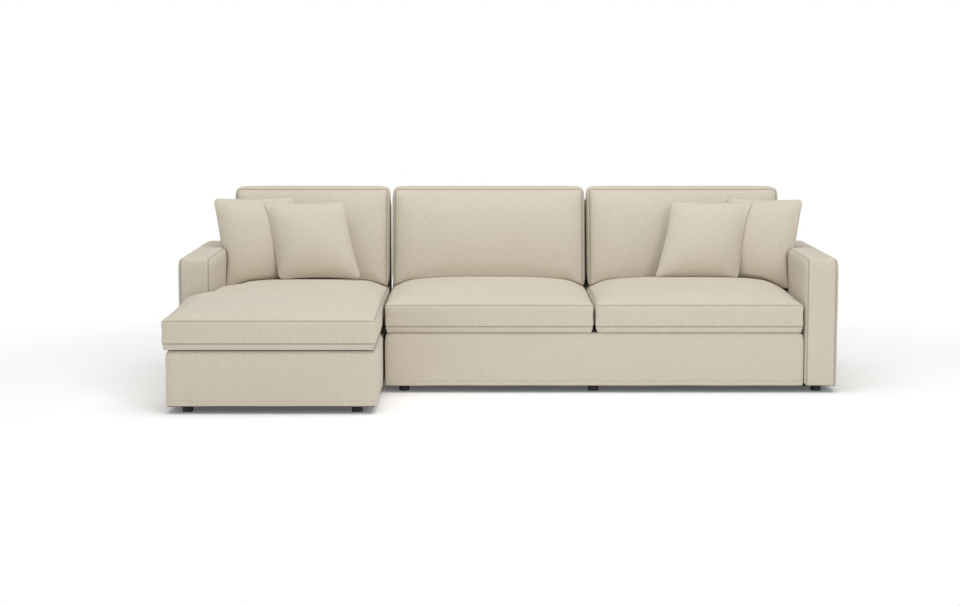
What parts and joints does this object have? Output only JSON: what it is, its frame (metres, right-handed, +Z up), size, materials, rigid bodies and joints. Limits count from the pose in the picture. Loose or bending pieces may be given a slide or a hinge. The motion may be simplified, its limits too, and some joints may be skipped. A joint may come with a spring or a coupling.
{
  "type": "sectional sofa with chaise",
  "caption": "Sectional sofa with a chaise on the left, boxed seat and back cushions, square padded arms, loose throw pillows and low block feet.",
  "frame": {"origin": "on the floor, under the middle of the plan outline", "axes": "+X along the width, to the right seen from the front; +Y from the front to the back; +Z up"},
  "size_m": [3.15, 1.698, 0.934],
  "materials": {
    "bracket_steel": "black powder coat",
    "cushion_fill": "fibre fill in a cotton case",
    "deck_felt": "needled felt",
    "dust_cloth": "black non-woven cloth",
    "fibreboard": "pressed fibreboard",
    "foot_plastic": "black moulded plastic",
    "frame_wood": "sawn pine and plywood boards",
    "screw_steel": "zinc plated",
    "seat_foam": "cut polyurethane foam",
    "spring_steel": "oiled spring wire",
    "upholstery_weave": "plain woven linen blend in warm oatmeal, with small slubs and flecks",
    "webbing": "woven elastic strap"
  },
  "bodies": {
    "sofa_section": {"right_arm_cover": "upholstery_weave", "right_arm_frame": "frame_wood", "right_arm_panels": "fibreboard", "sofa_back_cover": "upholstery_weave", "sofa_back_frame": "frame_wood", "sofa_back_webbing": "webbing", "sofa_base_cover": "upholstery_weave", "sofa_deck_pad": "deck_felt", "sofa_dust_cover": "dust_cloth", "sofa_feet": "foot_plastic", "sofa_foot_blocks": "frame_wood", "sofa_front_rail": "frame_wood", "sofa_joint_sockets": "bracket_steel", "sofa_left_rail": "frame_wood", "sofa_rear_rail": "frame_wood", "sofa_right_rail": "frame_wood", "sofa_screws": "screw_steel", "sofa_seat_springs": "spring_steel", "sofa_spring_clips": "spring_steel", "sofa_spring_rail": "frame_wood"},
    "chaise_section": {"chaise_back_cover": "upholstery_weave", "chaise_back_frame": "frame_wood", "chaise_back_webbing": "webbing", "chaise_base_cover": "upholstery_weave", "chaise_deck_pad": "deck_felt", "chaise_dust_cover": "dust_cloth", "chaise_feet": "foot_plastic", "chaise_foot_blocks": "frame_wood", "chaise_front_rail": "frame_wood", "chaise_joint_hooks": "bracket_steel", "chaise_left_rail": "frame_wood", "chaise_rear_rail": "frame_wood", "chaise_right_rail": "frame_wood", "chaise_screws": "screw_steel", "chaise_seat_springs": "spring_steel", "chaise_spring_clips": "spring_steel", "chaise_spring_rail": "frame_wood", "left_arm_cover": "upholstery_weave", "left_arm_frame": "frame_wood", "left_arm_panels": "fibreboard"},
    "chaise_seat_cushion": {"chaise_seat_cover": "upholstery_weave", "chaise_seat_core": "seat_foam"},
    "chaise_back_cushion": {"chaise_back_cushion_cover": "upholstery_weave", "chaise_back_cushion_fill": "cushion_fill"},
    "left_outer_pillow": {"left_outer_pillow_cover": "upholstery_weave", "left_outer_pillow_fill": "cushion_fill"},
    "left_inner_pillow": {"left_inner_pillow_cover": "upholstery_weave", "left_inner_pillow_fill": "cushion_fill"},
    "middle_seat_cushion": {"middle_seat_cover": "upholstery_weave", "middle_seat_core": "seat_foam"},
    "middle_back_cushion": {"middle_back_cushion_cover": "upholstery_weave", "middle_back_cushion_fill": "cushion_fill"},
    "right_seat_cushion": {"right_seat_cover": "upholstery_weave", "right_seat_core": "seat_foam"},
    "right_back_cushion": {"right_back_cushion_cover": "upholstery_weave", "right_back_cushion_fill": "cushion_fill"},
    "right_outer_pillow": {"right_outer_pillow_cover": "upholstery_weave", "right_outer_pillow_fill": "cushion_fill"},
    "right_inner_pillow": {"right_inner_pillow_cover": "upholstery_weave", "right_inner_pillow_fill": "cushion_fill"}
  },
  "joints": [
    {"name": "chaise_unhook", "type": "slide", "parent": "sofa_section", "child": "chaise_section", "axis": [0, 0, 1], "range_m": [0, 0.06]},
    {"name": "chaise_seat_lift", "type": "slide", "parent": "chaise_section", "child": "chaise_seat_cushion", "axis": [0, 0, 1], "range_m": [0, 0.4]},
    {"name": "chaise_back_lift", "type": "slide", "parent": "chaise_seat_cushion", "child": "chaise_back_cushion", "axis": [0, 0, 1], "range_m": [0, 0.45]},
    {"name": "left_outer_pillow_lift", "type": "slide", "parent": "chaise_back_cushion", "child": "left_outer_pillow", "axis": [0, -0.6, 0.8], "range_m": [0, 0.4]},
    {"name": "left_inner_pillow_lift", "type": "slide", "parent": "left_outer_pillow", "child": "left_inner_pillow", "axis": [0, -0.6, 0.8], "range_m": [0, 0.4]},
    {"name": "middle_seat_lift", "type": "slide", "parent": "sofa_section", "child": "middle_seat_cushion", "axis": [0, 0, 1], "range_m": [0, 0.4]},
    {"name": "middle_back_lift", "type": "slide", "parent": "middle_seat_cushion", "child": "middle_back_cushion", "axis": [0, 0, 1], "range_m": [0, 0.45]},
    {"name": "right_seat_lift", "type": "slide", "parent": "sofa_section", "child": "right_seat_cushion", "axis": [0, 0, 1], "range_m": [0, 0.4]},
    {"name": "right_back_lift", "type": "slide", "parent": "right_seat_cushion", "child": "right_back_cushion", "axis": [0, 0, 1], "range_m": [0, 0.45]},
    {"name": "right_outer_pillow_lift", "type": "slide", "parent": "right_back_cushion", "child": "right_outer_pillow", "axis": [0, -0.6, 0.8], "range_m": [0, 0.4]},
    {"name": "right_inner_pillow_lift", "type": "slide", "parent": "right_outer_pillow", "child": "right_inner_pillow", "axis": [0, -0.6, 0.8], "range_m": [0, 0.4]}
  ]
}
